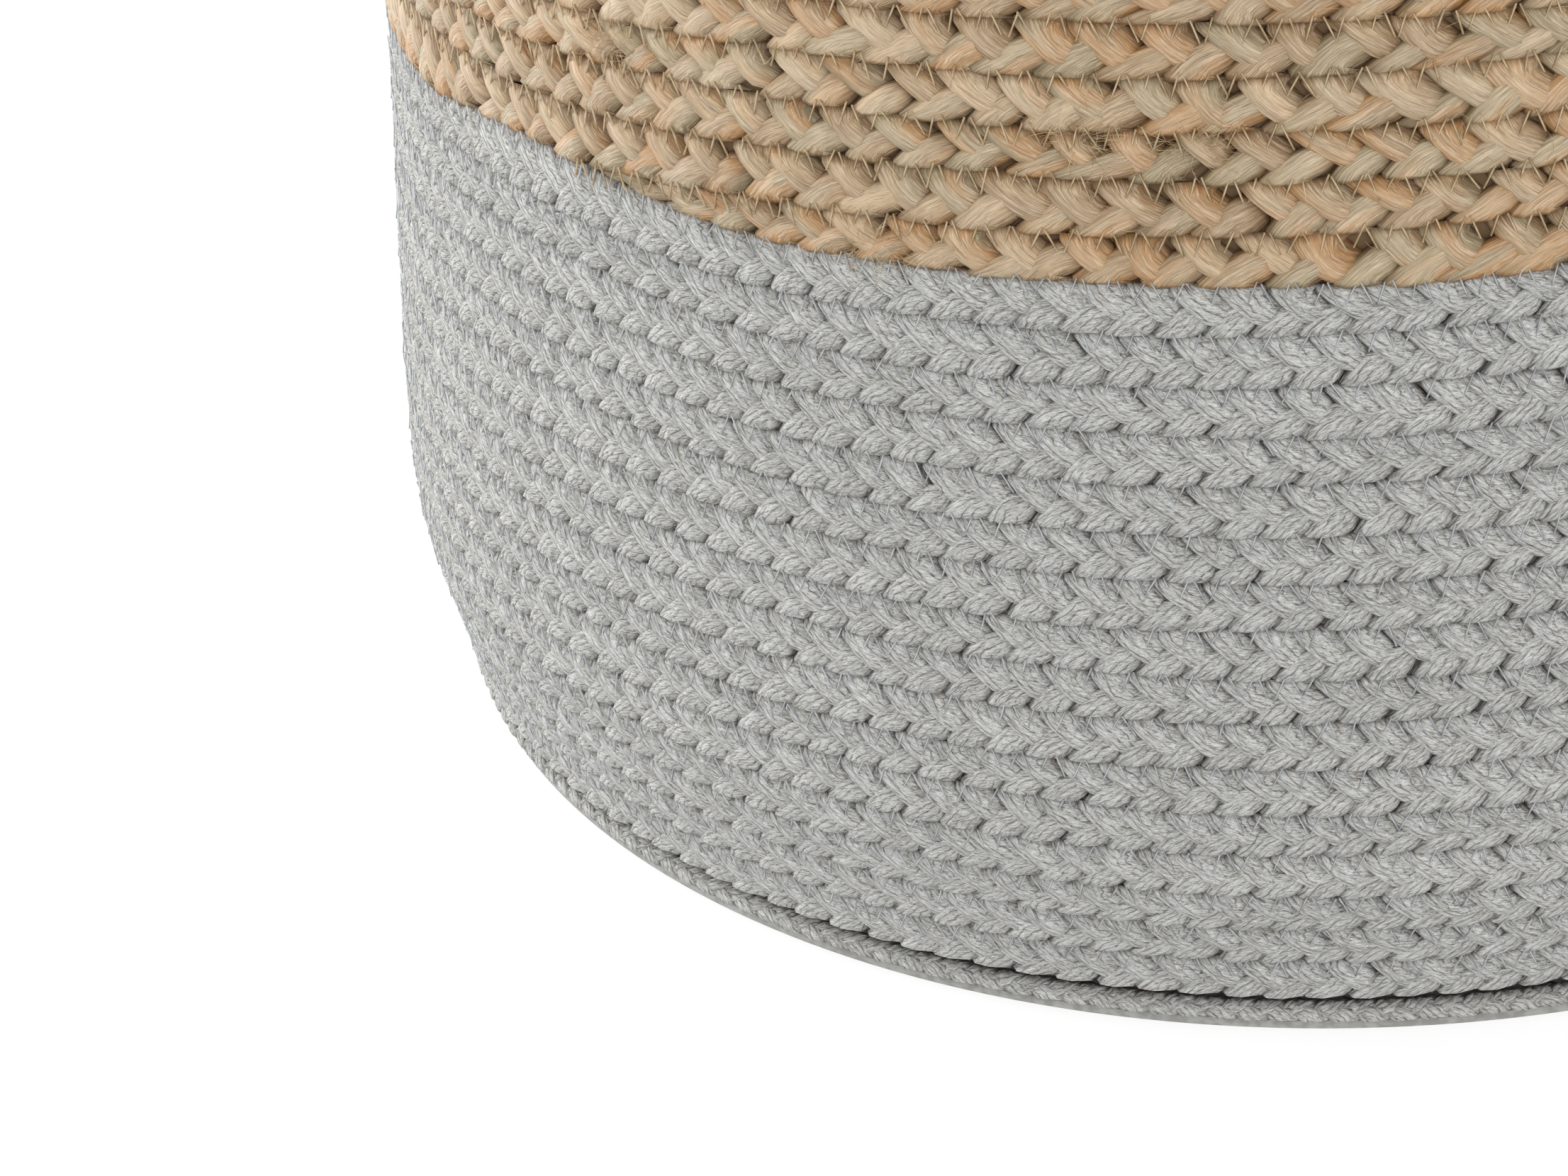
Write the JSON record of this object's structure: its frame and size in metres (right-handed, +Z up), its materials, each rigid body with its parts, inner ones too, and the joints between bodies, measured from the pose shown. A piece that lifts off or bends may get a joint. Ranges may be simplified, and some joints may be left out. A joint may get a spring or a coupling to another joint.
{
  "type": "jute pouf",
  "caption": "Round filled floor pouf of coiled three-strand braid, jute over the crown and upper wall, grey cotton below, with a flat coiled base.",
  "frame": {"origin": "middle of the flat base, on the surface the pouf stands on", "axes": "+Z up through the middle of the crown, the front with the jute braid's end towards -Y"},
  "size_m": [0.4744, 0.477, 0.3621],
  "materials": {
    "jute_braid": "matte natural jute fibre with a faint sheen along the strands",
    "cotton_braid": "matte light warm grey cotton yarn",
    "base_braid": "matte light warm grey cotton yarn"
  },
  "bodies": {
    "root": {"jute_cover": "jute_braid", "cotton_band": "cotton_braid", "base_coil": "base_braid"}
  },
  "joints": []
}
